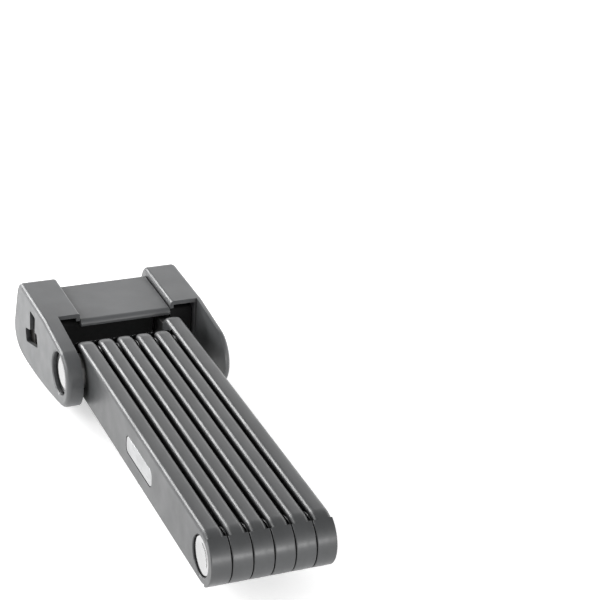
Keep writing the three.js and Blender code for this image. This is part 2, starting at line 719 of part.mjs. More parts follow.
const label = slab(labelShape(0), LABEL_SETBACK, LABEL_SETBACK + LABEL_THICKNESS);
const bodyRivet = rivet(LEFT_OUT + EAR_HEAD_SINK, farSide(0), HINGE, EAR_HEAD_RADIUS);
add("label_plate", label, SILVER_WHITE);
add("rivet_body_1", bodyRivet, POLISHED_STEEL);
add("washer_body_1", washer(LEFT_IN, coreFace(0), HINGE), GROUND_STEEL);
add("lock_housing", housing(), BLACK_STEEL);
add("left_cover", leftCover(), BODY_PLASTIC);
add("right_cover", rightCover(), BODY_PLASTIC);
add("barrel_cover", barrelCover(), BODY_PLASTIC);
add("cylinder_body", cylinderBody(), DARK_BRASS);
add("key_plug", keyPlug(), DARK_BRASS);
add("cylinder_pin", cylinderPin(), GROUND_STEEL);
add("drive_cam", driveCam(), GROUND_STEEL);
add("locking_bolt", lockingBolt(), BOLT_STEEL);

export default lock;
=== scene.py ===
"""Folding bike lock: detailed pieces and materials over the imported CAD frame, with a floor and light."""

import math

import bmesh
import bpy
from mathutils import Matrix, Vector

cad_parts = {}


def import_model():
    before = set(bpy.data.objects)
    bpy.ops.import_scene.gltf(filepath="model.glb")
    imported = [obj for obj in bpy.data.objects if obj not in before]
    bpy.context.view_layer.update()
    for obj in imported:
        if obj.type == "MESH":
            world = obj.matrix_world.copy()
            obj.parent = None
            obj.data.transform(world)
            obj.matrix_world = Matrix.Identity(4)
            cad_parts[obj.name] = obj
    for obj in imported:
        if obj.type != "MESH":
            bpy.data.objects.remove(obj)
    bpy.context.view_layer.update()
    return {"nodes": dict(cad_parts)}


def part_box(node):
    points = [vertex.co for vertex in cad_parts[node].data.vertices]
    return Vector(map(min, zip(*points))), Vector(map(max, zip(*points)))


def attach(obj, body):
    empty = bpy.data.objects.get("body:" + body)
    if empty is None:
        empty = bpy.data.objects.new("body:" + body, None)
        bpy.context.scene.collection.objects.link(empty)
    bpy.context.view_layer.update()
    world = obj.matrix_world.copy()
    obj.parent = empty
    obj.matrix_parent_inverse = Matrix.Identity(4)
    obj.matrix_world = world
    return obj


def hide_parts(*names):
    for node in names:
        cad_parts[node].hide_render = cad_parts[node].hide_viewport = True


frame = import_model()

MM = 0.001

# ---- Sizes in millimetres, measured from the frame where it holds them ----


def box_mm(node):
    low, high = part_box(node)
    return low / MM, high / MM


LINKS = 6
LINK_LOW, LINK_HIGH = box_mm("link_1_cover")
HALF_WIDTH = (LINK_HIGH.z - LINK_LOW.z) / 2
AXIS_Z = (LINK_HIGH.z + LINK_LOW.z) / 2
FAR_Y = LINK_LOW.y + HALF_WIDTH
HINGE_Y = LINK_HIGH.y - HALF_WIDTH
CORE_LOW, CORE_HIGH = box_mm("link_1_core")
CORE_HALF = (CORE_HIGH.z - CORE_LOW.z) / 2
FIT = 0.3
FACE_WALL = CORE_LOW.x - LINK_LOW.x - FIT
WAIST = 0.6
HEAD_RADIUS = (box_mm("rivet_1_2")[1].z - box_mm("rivet_1_2")[0].z) / 2
WASHER_RADIUS = (box_mm("washer_1_2")[1].z - box_mm("washer_1_2")[0].z) / 2
LEFT_LOW, LEFT_HIGH = box_mm("left_cover")
RIGHT_LOW, RIGHT_HIGH = box_mm("right_cover")
BARREL_LOW, BARREL_HIGH = box_mm("barrel_cover")
BODY_BACK = LEFT_HIGH.y
BODY_TOP = LEFT_HIGH.z
BODY_BOTTOM = LEFT_LOW.z
BODY_REACH = BODY_BACK - HINGE_Y
NOSE_RADIUS = HINGE_Y - LEFT_LOW.y
NOSE_DROP = 1.7
NOSE_LEAN = 0.12  # radians the nose's arc stops short of the vertical
EAR_CORNER = 10
EAR_BACK_HIGH = 0.7  # the slanted back's upper end, as a share of the height
EAR_BACK_LOW = 0.35  # and its lower end
EAR_BELLY = 0.4  # where the underside's curve is pulled to, as a share of BODY_REACH
EAR_HEEL = 1.6  # the flat underside's end, the back's lean and its pull, in corners
EAR_LEAN = 0.3
EAR_PULL = 0.5
SHOULDER = 23.5
TONGUE_HALF = 6.5
SLOT_SIDE = 1.5
SLOT_ROOF = AXIS_Z + TONGUE_HALF + 0.5
LAST_CORE_LOW, LAST_CORE_HIGH = box_mm("link_6_core")
SLOT_LEFT = LAST_CORE_LOW.x - SLOT_SIDE
SLOT_RIGHT = LAST_CORE_HIGH.x + SLOT_SIDE
SLOT_BACK = HINGE_Y + 36.95
LEFT_GAP = 2.3  # air between the left ear and the first link
RIGHT_EAR = 2.4  # thickness of the right cheek
LEFT_INNER = LINK_LOW.x - LEFT_GAP
RIGHT_INNER = RIGHT_HIGH.x - RIGHT_EAR
HOUSING_LOW, HOUSING_HIGH = box_mm("lock_housing")
PAST = 5  # how far a cutter passes the face it starts from
ROUND_PAST = 3  # and how far a round one does
SMOOTH_ANGLE = 30  # degrees; sharper edges stay crisp

# ---- Mesh helpers ----


def arc(centre_y, centre_z, radius, start, end, steps):
    """Points on an arc in the (Y, Z) plane, both ends included."""
    return [
        (
            centre_y + radius * math.cos(start + (end - start) * i / steps),
            centre_z + radius * math.sin(start + (end - start) * i / steps),
        )
        for i in range(steps + 1)
    ]


def bend(p0, p1, p2, steps):
    """A quadratic curve from p0 to p2, pulled towards p1, without its first point."""
    points = []
    for i in range(1, steps + 1):
        t = i / steps
        a, b, c = (1 - t) ** 2, 2 * t * (1 - t), t * t
        points.append((a * p0[0] + b * p1[0] + c * p2[0], a * p0[1] + b * p1[1] + c * p2[1]))
    return points


def tidy(points, least=1e-4):
    """The outline without points that fall on the one before."""
    kept = []
    for p in points:
        if not kept or math.dist(p, kept[-1]) > least:
            kept.append(p)
    if math.dist(kept[0], kept[-1]) <= least:
        kept.pop()
    return kept


def inset(points, distance):
    """A counter-clockwise outline moved in by distance along its corner normals."""
    moved = []
    count = len(points)
    for i, (y, z) in enumerate(points):
        before, after = points[i - 1], points[(i + 1) % count]
        d1 = Vector((y - before[0], z - before[1])).normalized()
        d2 = Vector((after[0] - y, after[1] - z)).normalized()
        n1, n2 = Vector((-d1.y, d1.x)), Vector((-d2.y, d2.x))
        n = (n1 + n2).normalized()
        reach = distance / max(n.dot(n1), 0.4)
        moved.append((y + n.x * reach, z + n.y * reach))
    return moved


def make(name, bm):
    """A bmesh in millimetres as a scene object in metres."""
    bmesh.ops.recalc_face_normals(bm, faces=bm.faces)
    bmesh.ops.scale(bm, vec=(MM, MM, MM), verts=bm.verts)
    mesh = bpy.data.meshes.new(name)
    bm.to_mesh(mesh)
    bm.free()
    obj = bpy.data.objects.new(name, mesh)
    bpy.context.scene.collection.objects.link(obj)
    return obj


def loft(rings):
    """A closed solid through rings of points with the same count, capped at both ends."""
    bm = bmesh.new()
    rows = [[bm.verts.new(p) for p in ring] for ring in rings]
    count = len(rows[0])
    for a, b in zip(rows, rows[1:]):
        for i in range(count):
            j = (i + 1) % count
            bm.faces.new((a[i], a[j], b[j], b[i]))
    bm.faces.new(list(reversed(rows[0])))
    bm.faces.new(rows[-1])
    return bm


def slab(name, outline, x0, x1, round0=0.0, round1=0.0, steps=5):
    """An outline drawn out along X, with rounded edges at either end."""
    rings = []
    for i in range(steps + 1 if round0 else 1):
        a = math.pi / 2 * i / steps
        depth = round0 * (1 - math.sin(a)) if round0 else 0
        x = x0 + round0 * (1 - math.cos(a)) if round0 else x0
        rings.append([(x, y, z) for y, z in inset(outline, depth)])
    for i in range(steps + 1 if round1 else 1):
        a = math.pi / 2 * i / steps
        depth = round1 * (1 - math.cos(a)) if round1 else 0
        x = x1 - round1 * (1 - math.sin(a)) if round1 else x1
        rings.append([(x, y, z) for y, z in inset(outline, depth)])
    return make(name, loft(rings))


def crowned(name, outline, x0, x1, rounding, crown, steps=7, flats=6):
    """An outline drawn out along X with well rounded edges and a slightly domed rim between them."""
    stations = [(rounding * (1 - math.cos(math.pi / 2 * i / steps)), i / steps) for i in range(steps + 1)]
    rings = []
    half = (x1 - x0) / 2
    for depth_x, share in stations:
        rings.append((x0 + depth_x, rounding * (1 - math.sin(math.pi / 2 * share))))
    for i in range(1, flats):
        rings.append((x0 + rounding + (x1 - x0 - 2 * rounding) * i / flats, 0.0))
    for depth_x, share in reversed(stations):
        rings.append((x1 - depth_x, rounding * (1 - math.sin(math.pi / 2 * share))))
    loops = []
    for x, depth in rings:
        away = abs(x - (x0 + half)) / half
        loops.append([(x, y, z) for y, z in inset(outline, depth + crown * away * away)])
    return make(name, loft(loops))


def turned(name, profile, centre_y, centre_z, steps=64):
    """A solid turned about a line along X from (x, radius) points; ends on the axis close it."""
    bm = bmesh.new()
    rows = []
    for x, radius in profile:
        if radius < 1e-6:
            rows.append([bm.verts.new((x, centre_y, centre_z))])
        else:
            ring = arc(centre_y, centre_z, radius, 0, 2 * math.pi, steps)[:-1]
            rows.append([bm.verts.new((x, y, z)) for y, z in ring])
    for a, b in zip(rows, rows[1:]):
        for i in range(steps):
            j = (i + 1) % steps
            corners = [a[i % len(a)], a[j % len(a)], b[j % len(b)], b[i % len(b)]]
            corners = list(dict.fromkeys(corners))
            if len(corners) > 2:
                bm.faces.new(corners)
    return make(name, bm)


def disc_cutter(x0, x1, centre_y, centre_z, radius, flare=0.0, flare_at=None):
    """A round cutter from x0 to x1; flare opens it like a small chamfer where it meets the face flare_at."""
    profile = [(x0, 0), (x0, radius), (x1, radius), (x1, 0)]
    if flare:
        if abs(flare_at - x0) < abs(flare_at - x1):
            profile = [(x0, 0), (x0, radius + flare + abs(flare_at - x0)), (flare_at + flare, radius)]
            profile += [(x1, radius), (x1, 0)]
        else:
            profile = [(x0, 0), (x0, radius), (flare_at - flare, radius)]
            profile += [(x1, radius + flare + abs(flare_at - x1)), (x1, 0)]
    return turned("cutter", profile, centre_y, centre_z)


def block(x0, y0, z0, x1, y1, z1):
    """A box cutter between two corners."""
    return slab("cutter", [(y0, z0), (y1, z0), (y1, z1), (y0, z1)], x0, x1)


def combine(obj, others, operation="DIFFERENCE"):
    """Cuts or joins other objects into obj, and removes them."""
    for other in others:
        modifier = obj.modifiers.new("join", "BOOLEAN")
        modifier.operation = operation
        modifier.solver = "MANIFOLD"
        modifier.object = other
        apply_all(obj)
        bpy.data.objects.remove(other)
    return obj


def apply_all(obj):
    """Puts the result of obj's modifiers in its mesh."""
    bpy.context.view_layer.update()
    depsgraph = bpy.context.evaluated_depsgraph_get()
    mesh = bpy.data.meshes.new_from_object(obj.evaluated_get(depsgraph))
    obj.modifiers.clear()
    obj.data = mesh


def finish_edges(obj, sharp=SMOOTH_ANGLE):
    """Smooth shading except over edges sharper than sharp degrees."""
    mesh = obj.data
    mesh.polygons.foreach_set("use_smooth", [True] * len(mesh.polygons))
    mesh.set_sharp_from_angle(angle=math.radians(sharp))
    modifier = obj.modifiers.new("normals", "WEIGHTED_NORMAL")
    modifier.keep_sharp = True
    modifier.weight = 100
    return obj


# ---- Materials ----


class Nodes:
    """A small helper that adds and links shader nodes."""

    def __init__(self, name):
        self.material = bpy.data.materials.new(name)
        self.material.use_nodes = True
        self.tree = self.material.node_tree
        self.tree.nodes.clear()
        self.shader = self.tree.nodes.new("ShaderNodeBsdfPrincipled")
        output = self.tree.nodes.new("ShaderNodeOutputMaterial")
        self.tree.links.new(self.shader.outputs[0], output.inputs["Surface"])
        self.place = self.tree.nodes.new("ShaderNodeTexCoord").outputs["Object"]

    def add(self, kind, inputs=None, **settings):
        node = self.tree.nodes.new(kind)
        for key, value in settings.items():
            setattr(node, key, value)
        for key, value in (inputs or {}).items():
            if isinstance(value, bpy.types.NodeSocket):
                self.tree.links.new(value, node.inputs[key])
            else:
                node.inputs[key].default_value = value
        return node

    def stretched(self, scale, shift=(0, 0, 0)):
        inputs = {"Vector": self.place, "Scale": scale, "Location": shift}
        return self.add("ShaderNodeMapping", inputs).outputs[0]

    def noise(self, scale, detail=3.0, vector=None, roughness=0.5):
        inputs = {
            "Vector": vector or self.place,
            "Scale": scale,
            "Detail": detail,
            "Roughness": roughness,
        }
        return self.add("ShaderNodeTexNoise", inputs).outputs["Fac"]

    def remap(self, value, low, high, to_low, to_high, smooth=False):
        inputs = {
            "Value": value,
            "From Min": low,
            "From Max": high,
            "To Min": to_low,
            "To Max": to_high,
        }
        kind = "SMOOTHSTEP" if smooth else "LINEAR"
        return self.add("ShaderNodeMapRange", inputs, interpolation_type=kind).outputs[0]

    def math(self, operation, a, b):
        return self.add("ShaderNodeMath", {0: a, 1: b}, operation=operation).outputs[0]

    def mix(self, factor, a, b):
        node = self.add("ShaderNodeMix", data_type="RGBA")
        for key, value in ((0, factor), (6, a), (7, b)):
            if isinstance(value, bpy.types.NodeSocket):
                self.tree.links.new(value, node.inputs[key])
            else:
                node.inputs[key].default_value = value
        return node.outputs[2]

    def edges(self, radius, low=0.0, high=0.12):
        """1 on edges tighter than radius (mm), 0 on flats, from how far the bevelled normal turns."""
        soft = self.add("ShaderNodeBevel", {"Radius": radius * MM}, samples=4).outputs[0]
        true = self.add("ShaderNodeNewGeometry").outputs["True Normal"]
        dot = self.add("ShaderNodeVectorMath", {0: soft, 1: true}, operation="DOT_PRODUCT")
        away = self.math("SUBTRACT", 1.0, dot.outputs["Value"])
        return self.remap(away, low, high, 0.0, 1.0, smooth=True)

    def painted_gap_shade(self, reach):
        """Mask for painted shade, from ambient occlusion: 1 on open faces, 0 deep in gaps narrower than
        reach (mm).
        """
        reached = self.add("ShaderNodeAmbientOcclusion", {"Distance": reach * MM}, samples=8)
        return self.remap(reached.outputs["AO"], 0.3, 0.75, 0.0, 1.0, smooth=True)

    def bump(self, layers):
        """Bump from (height socket, strength, distance in mm) layers."""
        normal = None
        for height, strength, distance in layers:
            inputs = {"Height": height, "Strength": strength, "Distance": distance * MM}
            if normal:
                inputs["Normal"] = normal
            normal = self.add("ShaderNodeBump", inputs).outputs[0]
        self.tree.links.new(normal, self.shader.inputs["Normal"])

    def set(self, **values):
        for key, value in values.items():
            socket = self.shader.inputs[key.replace("_", " ")]
            if isinstance(value, bpy.types.NodeSocket):
                self.tree.links.new(value, socket)
            else:
                socket.default_value = value


def grey(value, tint=0.0):
    return (value * (1 - tint), value, value * (1 + tint), 1)


def moulded(name, tone, rough, grain_mm, grain, wear):
    """Dark moulded plastic: fine spark-eroded grain, cloudy tone, rubbed edges, a few specks of dust, and
    painted shade deep in narrow gaps.
    """
    n = Nodes(name)
    cloud = n.remap(n.noise(45, 4), 0.3, 0.7, 0.0, 1.0)
    base = n.mix(cloud, grey(tone * 0.86, 0.03), grey(tone * 1.12, 0.03))
    patch = n.remap(n.noise(420, 3), 0.42, 0.7, 0.0, 1.0, smooth=True)
    rubbed = n.math("MULTIPLY", n.edges(0.55), patch)
    base = n.mix(n.math("MULTIPLY", rubbed, wear), base, grey(tone * 3.2))
    speck = n.remap(n.noise(5200, 1), 0.76, 0.8, 0.0, 0.35)
    base = n.mix(speck, base, grey(tone * 2.2))
    smear = n.remap(n.noise(110, 5), 0.3, 0.75, rough - 0.05, rough + 0.07)
    # Painted shade: deep in narrow gaps the colour turns near-black and the reflection weakens.
    gap_shade_mask = n.painted_gap_shade(4)
    base = n.mix(gap_shade_mask, grey(0.004), base)
    shine = n.remap(gap_shade_mask, 0, 1, 0.04, 0.5)
    n.set(Base_Color=base, Roughness=smear, Specular_IOR_Level=shine)
    fine = n.noise(1000 / grain_mm, 2)
    wave = n.noise(70, 2)
    n.bump([(fine, grain, 0.03), (wave, 0.12, 0.12)])
    return n.material


def machined(name, tone, rough, along=(1, 1, 1), dark=0.75, metal=1.0, shine=0.5):
    """Machined or ground metal with fine lines; a large number in along packs the lines on that axis."""
    n = Nodes(name)
    lines = n.noise(900, 4, n.stretched(along))
    cloud = n.noise(120, 3)
    base = n.mix(n.remap(cloud, 0.3, 0.7, 0, 1), grey(tone * dark), grey(tone))
    base = n.mix(n.math("MULTIPLY", n.edges(0.3), 0.35), base, grey(min(tone * 1.3, 0.95)))
    roughness = n.remap(lines, 0.2, 0.8, rough - 0.06, rough + 0.1)
    n.set(Base_Color=base, Metallic=metal, Roughness=roughness, Specular_IOR_Level=shine)
    n.bump([(lines, 0.25, 0.02)])
    return n.material


def brass(name):
    """Brass with a near-black colour that paints in the shade of the keyhole, fine turning lines and
    slightly rubbed edges.
    """
    n = Nodes(name)
    lines = n.noise(700, 4, n.stretched((6, 1, 1)))
    cloud = n.remap(n.noise(160, 3), 0.3, 0.7, 0, 1)
    # Painted shade: the near-black base keeps the cylinder dark behind the keyhole.
    base = n.mix(cloud, (0.006, 0.0055, 0.0045, 1), (0.012, 0.011, 0.009, 1))
    base = n.mix(n.math("MULTIPLY", n.edges(0.25), 0.3), base, (0.16, 0.13, 0.08, 1))
    roughness = n.remap(lines, 0.2, 0.8, 0.42, 0.58)
    n.set(Base_Color=base, Metallic=0.6, Roughness=roughness, Specular_IOR_Level=0.2)
    n.bump([(lines, 0.25, 0.02)])
    return n.material


def polished_head(name, centre_y, centre_z):
    """A turned and polished rivet face: faint rings round its axis, light scuffs."""
    n = Nodes(name)
    shift = (0, -centre_y * MM, -centre_z * MM)
    local = n.stretched((1, 1, 1), shift)
    rings = n.add(
        "ShaderNodeTexWave",
        {"Vector": local, "Scale": 900.0, "Distortion": 1.5, "Detail": 2.0},
        wave_type="RINGS",
        rings_direction="X",
    ).outputs["Fac"]
    scuff = n.remap(n.noise(1500, 4, n.stretched((1, 7, 1))), 0.55, 0.75, 0, 1)
    base = n.mix(n.math("MULTIPLY", scuff, 0.3), grey(0.5), grey(0.34))
    n.set(Base_Color=base, Metallic=1.0, Roughness=n.remap(scuff, 0, 1, 0.12, 0.3))
    n.bump([(rings, 0.08, 0.01), (n.noise(90, 2), 0.1, 0.05)])
    return n.material


def silver_label(name):
    """Plain silver-white inlay: fine brushed grain along its length."""
    n = Nodes(name)
    grain = n.noise(700, 4, n.stretched((1, 0.12, 3)))
    cloud = n.remap(n.noise(160, 3), 0.3, 0.7, 0, 1)
    base = n.mix(cloud, grey(0.33, 0.01), grey(0.4, 0.01))
    n.set(Base_Color=base, Metallic=0.25, Roughness=n.remap(grain, 0.3, 0.7, 0.26, 0.42))
    n.bump([(grain, 0.15, 0.01)])
    return n.material


LINK_PLASTIC = moulded("link_plastic", 0.055, 0.34, 0.32, 0.35, 0.3)
BODY_PLASTIC = moulded("body_plastic", 0.085, 0.36, 0.26, 0.25, 0.3)
BAR_STEEL = machined("bar_steel", 0.42, 0.34, along=(1, 0.1, 3))
WASHER_STEEL = machined("washer_steel", 0.5, 0.32)
BOLT_STEEL = machined("bolt_steel", 0.62, 0.24, along=(8, 1, 1))
# Painted shade: the housing seen under the barrel's lip and through the covers gets a near-black, non-metal
# colour that stands in for deep shade.
SHADE_BLACK_STEEL = machined("shade_black_steel", 0.006, 0.7, dark=0.6, metal=0.0, shine=0.25)
SHADE_DARK_BRASS = brass("cylinder_brass")
LABEL = silver_label("label_silver")


def dress(obj, material):
    """Gives an object one material on every slot."""
    obj.data.materials.clear()
    obj.data.materials.append(material)
    return obj


def dress_node(node, material):
    """Puts a material on a CAD node's slots without touching its mesh."""
    obj = frame["nodes"][node]
    if not obj.material_slots:
        obj.data.materials.append(material)
    for place in obj.material_slots:
        place.material = material


def stand_for(obj, node, body, material):
    """A finished piece takes a CAD node's place."""
    dress(obj, material)
    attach(obj, body)
    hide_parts(node)


# ---- Link covers ----

ARC_STEPS = 40
EDGE_ROUND = 1.8  # rounding of a cover's long edges
END_ROUND = 0.45  # rounding of its tips
CROWN = 0.34  # how far its rim domes
BLUNT_CORNER = 6
BLUNT_STEPS = 14
HAIR = 0.015  # tips and pads stay this far inside the faces that they meet
TIP_MARGIN = 0.05
FLARE = 0.3  # chamfer round a head's pocket
LABEL_CORNER = 2.4


def stadium(half, y0, y1, steps=ARC_STEPS):
    right = arc(y1, AXIS_Z, half, -math.pi / 2, math.pi / 2, steps)
    left = arc(y0, AXIS_Z, half, math.pi / 2, 1.5 * math.pi, steps)
    return tidy(right + left)


def rounded(y0, z0, y1, z1, corner, steps=10):
    points = arc(y1 - corner, z0 + corner, corner, -math.pi / 2, 0, steps)
    points += arc(y1 - corner, z1 - corner, corner, 0, math.pi / 2, steps)
    points += arc(y0 + corner, z1 - corner, corner, math.pi / 2, math.pi, steps)
    points += arc(y0 + corner, z0 + corner, corner, math.pi, 1.5 * math.pi, steps)
    return tidy(points)


def blunt(y0, y1, corner):
    """A link's outline with a full round at y0 and two rounded corners at y1."""
    low, high = AXIS_Z - HALF_WIDTH + corner, AXIS_Z + HALF_WIDTH - corner
    points = arc(y1 - corner, low, corner, -math.pi / 2, 0, BLUNT_STEPS)
    points += arc(y1 - corner, high, corner, 0, math.pi / 2, BLUNT_STEPS)
    points += arc(y0, AXIS_Z, HALF_WIDTH, math.pi / 2, 1.5 * math.pi, ARC_STEPS)
    return tidy(points)


TIP_START = 5
PAD_MARGIN = 1.5


DISC_RIM_STEPS = 4
DISC_STEPS = 96


def disc(x0, x1, y, radius):
    """A round plate with finely rounded rims."""
    rim = []
    for i in range(DISC_RIM_STEPS + 1):
        a = math.pi / 2 * i / DISC_RIM_STEPS
        rim.append((END_ROUND * (1 - math.cos(a)), radius - END_ROUND * (1 - math.sin(a))))
    profile = [(x0, 0)]
    profile += [(x0 + depth, reach) for depth, reach in rim]
    profile += [(x1 - depth, reach) for depth, reach in reversed(rim)]
    profile.append((x1, 0))
    return turned("disc", profile, y, AXIS_Z, DISC_STEPS)


def tip(x0, x1, y, outward):
    """A link's full-thickness tip beyond its rivet's axis."""
    whole = disc(x0, x1, y, HALF_WIDTH - TIP_MARGIN)
    inner, outer = y + outward * TIP_START, y + outward * 2 * HALF_WIDTH
    low, high = AXIS_Z - 2 * HALF_WIDTH, AXIS_Z + 2 * HALF_WIDTH
    kept = block(x0 - 1, min(inner, outer), low, x1 + 1, max(inner, outer), high)
    return combine(whole, [kept], "INTERSECT")


def pad(x0, x1, y):
    """The full-thickness ring round a link's rivet head."""
    return disc(x0, x1, y, HEAD_RADIUS + FIT + PAD_MARGIN)


def label_outline(grow):
    low, high = box_mm("label_plate")
    corner = LABEL_CORNER + grow
    return rounded(low.y - grow, low.z - grow, high.y + grow, high.z + grow, corner)


def link_cover(number):
    """One link's cover: a domed bar with tips, pads, pockets and the space for its steel core."""
    name = f"link_{number}_cover"
    low, high = box_mm(name)
    last = number == LINKS
    left = low.x + (0 if number == 1 else WAIST)
    right = high.x - (0 if last else WAIST)
    outline = blunt(FAR_Y, high.y, BLUNT_CORNER) if last else stadium(HALF_WIDTH, FAR_Y, HINGE_Y)
    shell = crowned(f"{name}_moulded", outline, left, right, EDGE_ROUND, CROWN)
    ends = [tip(low.x + HAIR, high.x - HAIR, y, way) for y, way in ((FAR_Y, -1), (HINGE_Y, 1))]
    ends += [pad(low.x + 2 * HAIR, high.x - 2 * HAIR, y) for y in (FAR_Y, HINGE_Y)]
    combine(shell, ends, "UNION")
    inside = stadium(CORE_HALF + FIT, FAR_Y, HINGE_Y, 24)
    cutters = [slab("cutter", inside, low.x + FACE_WALL, high.x - FACE_WALL)]
    middle = (low.x + high.x) / 2
    odd = number % 2 == 1
    before_y, after_y = (HINGE_Y, FAR_Y) if odd else (FAR_Y, HINGE_Y)
    washer, head = WASHER_RADIUS + FIT, HEAD_RADIUS + FIT

    def left_pocket(y, radius):
        return disc_cutter(low.x - ROUND_PAST, middle, y, AXIS_Z, radius, FLARE, low.x)

    def right_pocket(y, radius):
        return disc_cutter(middle, high.x + ROUND_PAST, y, AXIS_Z, radius, FLARE, high.x)

    cutters += [left_pocket(before_y, washer), right_pocket(before_y, head)]
    if not last:
        cutters += [left_pocket(after_y, head), right_pocket(after_y, washer)]
    else:
        start, end = low.x + FACE_WALL, high.x - FACE_WALL
        floor_z, roof_z = AXIS_Z - TONGUE_HALF - FIT, AXIS_Z + TONGUE_HALF + FIT
        cutters.append(block(start, HINGE_Y, floor_z, end, high.y + PAST, roof_z))
    if number == 1:
        window = label_outline(FIT)
        cutters.append(slab("cutter", window, low.x - ROUND_PAST, low.x + FACE_WALL + FIT))
    combine(shell, cutters)
    finish_edges(shell)
    stand_for(shell, name, f"link_{number}", LINK_PLASTIC)


for index in range(1, LINKS + 1):
    link_cover(index)
    dress_node(f"link_{index}_core", BAR_STEEL)

# ---- Label ----

LABEL_ROUND = 0.15
label_low, label_high = box_mm("label_plate")
label_shape = label_outline(0)
label = slab("label_inlay", label_shape, label_low.x, label_high.x, LABEL_ROUND, 0.0, 3)
finish_edges(label)
stand_for(label, "label_plate", "link_1", LABEL)

# ---- Rivets and washers ----


SHAFT_RADIUS = 4.5
HEAD_HEIGHT = 2.0
HEAD_SHARP = 35
# The dish: how deep, as a share of its depth, at each share of its radius.
DISH = ((1, 0), (0.96, 0.25), (0.78, 0.55), (0.4, 0.82), (0.1, 0.96), (0, 1.04))
# The rounded rims: in from the face, and in from the radius.
LEFT_RIM = ((0, 0.45), (0.06, 0.22), (0.2, 0.07), (0.45, 0))
RIGHT_RIM = ((0.4, 0), (0.12, 0.12), (0, 0.4))


def rivet_piece(node, body, y, shown, head_left):
    """A shaft with two heads; the shown left head is dished more deeply."""
    low, high = box_mm(node)
    dish, depth = (head_left * 0.72, 0.75) if shown else (head_left * 0.4, 0.25)
    profile = [(low.x + depth * deep, dish * share) for deep, share in DISH]
    profile += [(low.x + back, head_left - down) for back, down in LEFT_RIM]
    profile += [
        (low.x + HEAD_HEIGHT, head_left),
        (low.x + HEAD_HEIGHT, SHAFT_RADIUS),
        (high.x - HEAD_HEIGHT, SHAFT_RADIUS),
        (high.x - HEAD_HEIGHT, HEAD_RADIUS),
    ]
    profile += [(high.x - back, HEAD_RADIUS - down) for back, down in RIGHT_RIM]
    profile.append((high.x, 0))
    piece = turned(f"{node}_turned", profile, y, AXIS_Z, 72)
    finish_edges(piece, HEAD_SHARP)
    material = polished_head(f"polished_{node}", y, AXIS_Z)
    stand_for(piece, node, body, material)


for index in range(1, LINKS):
    node = f"rivet_{index}_{index + 1}"
    y = FAR_Y if index % 2 == 1 else HINGE_Y
    rivet_piece(node, f"link_{index}", y, index == 1, HEAD_RADIUS)
    dress_node(f"washer_{index}_{index + 1}", WASHER_STEEL)

body_low, body_high = box_mm("rivet_body_1")
rivet_piece("rivet_body_1", "lock_body", HINGE_Y, True, (body_high.z - body_low.z) / 2)
dress_node("washer_body_1", WASHER_STEEL)

# ---- Lock body covers ----


def ear(grow=0.0):
    """The ears' side outline, counter-clockwise seen from +X."""
    radius = NOSE_RADIUS + grow
    top, bottom, back = BODY_TOP + grow, BODY_BOTTOM - grow, BODY_BACK + grow
    corner = EAR_CORNER
    high = bottom + EAR_BACK_HIGH * (top - bottom)
    low = bottom + EAR_BACK_LOW * (top - bottom)
    centre = (HINGE_Y, AXIS_Z - NOSE_DROP)
    nose = arc(*centre, radius, math.pi / 2 + NOSE_LEAN, 1.5 * math.pi - NOSE_LEAN, 48)
    points = list(nose)
    belly, heel = (HINGE_Y + EAR_BELLY * BODY_REACH, bottom), (back - EAR_HEEL * corner, bottom)
    points += bend(nose[-1], belly, heel, 20)
    points += bend(points[-1], (back, bottom), (back, low), 14)
    points.append((back - EAR_LEAN * corner, high))
    points += bend(points[-1], (back - EAR_PULL * corner, top), (back - corner, top), 14)
    points.append((HINGE_Y + SHOULDER, top))
    return tidy(points)


def tongue_slot():
    """A cutter for the slot the last link's tongue swings out through."""
    return block(SLOT_LEFT, HINGE_Y, BODY_BOTTOM - PAST, SLOT_RIGHT, SLOT_BACK, SLOT_ROOF)


SHELL = 1.8  # wall round the edge of an ear
FACE = 3.3  # wall over its flat
BARREL_LAP = 0.5
INNER_WALL = 1.5
OUTER_ROUND = 1.9
LEFT_SHOULDER_ROUND = 1.0
RIGHT_SHOULDER_ROUND = 1.6
ROUND_STEPS = 7
STEP_ROUND = 0.45  # rounding where the wide part steps out
STEP_ANGLE = 45
EAR_REACH = 40  # past the nose, for the cutter in front of the shoulder


def ear_cover(node, outer, inner, shoulder, cutters):
    """One ear: a plate with a well rounded outer edge, and its hollow wide part behind the shoulder."""
    inward = 1 if outer < inner else -1
    name = f"{node}_moulded"
    if inward > 0:
        whole = slab(name, ear(), outer, shoulder, OUTER_ROUND, LEFT_SHOULDER_ROUND, ROUND_STEPS)
    else:
        whole = slab(name, ear(), shoulder, outer, RIGHT_SHOULDER_ROUND, OUTER_ROUND, ROUND_STEPS)
    past = shoulder + inward * PAST
    low, high = BODY_BOTTOM - PAST, BODY_TOP + PAST
    front, front_end = HINGE_Y - EAR_REACH, HINGE_Y + SHOULDER
    combine(whole, [block(min(inner, past), front, low, max(inner, past), front_end, high)])
    modifier = whole.modifiers.new("edges", "BEVEL")
    modifier.width = STEP_ROUND * MM
    modifier.segments = 3
    modifier.limit_method = "ANGLE"
    modifier.angle_limit = math.radians(STEP_ANGLE)
    apply_all(whole)
    near = outer + inward * FACE
    wall = shoulder - inward * INNER_WALL
    hollow = slab("cutter", ear(-SHELL), min(near, wall), max(near, wall))
    middle = (near + wall) / 2
    opening = slab("cutter", ear(-SHELL), min(middle, past), max(middle, past))
    back, roof = BARREL_HIGH.y - BARREL_LAP, BARREL_HIGH.z - BARREL_LAP
    closed = block(LEFT_LOW.x - PAST, HINGE_Y, BODY_BOTTOM, RIGHT_HIGH.x + PAST, back, roof)
    combine(opening, [closed], "INTERSECT")
    combine(whole, [hollow, opening, *cutters])
    finish_edges(whole)
    stand_for(whole, node, "lock_body", BODY_PLASTIC)


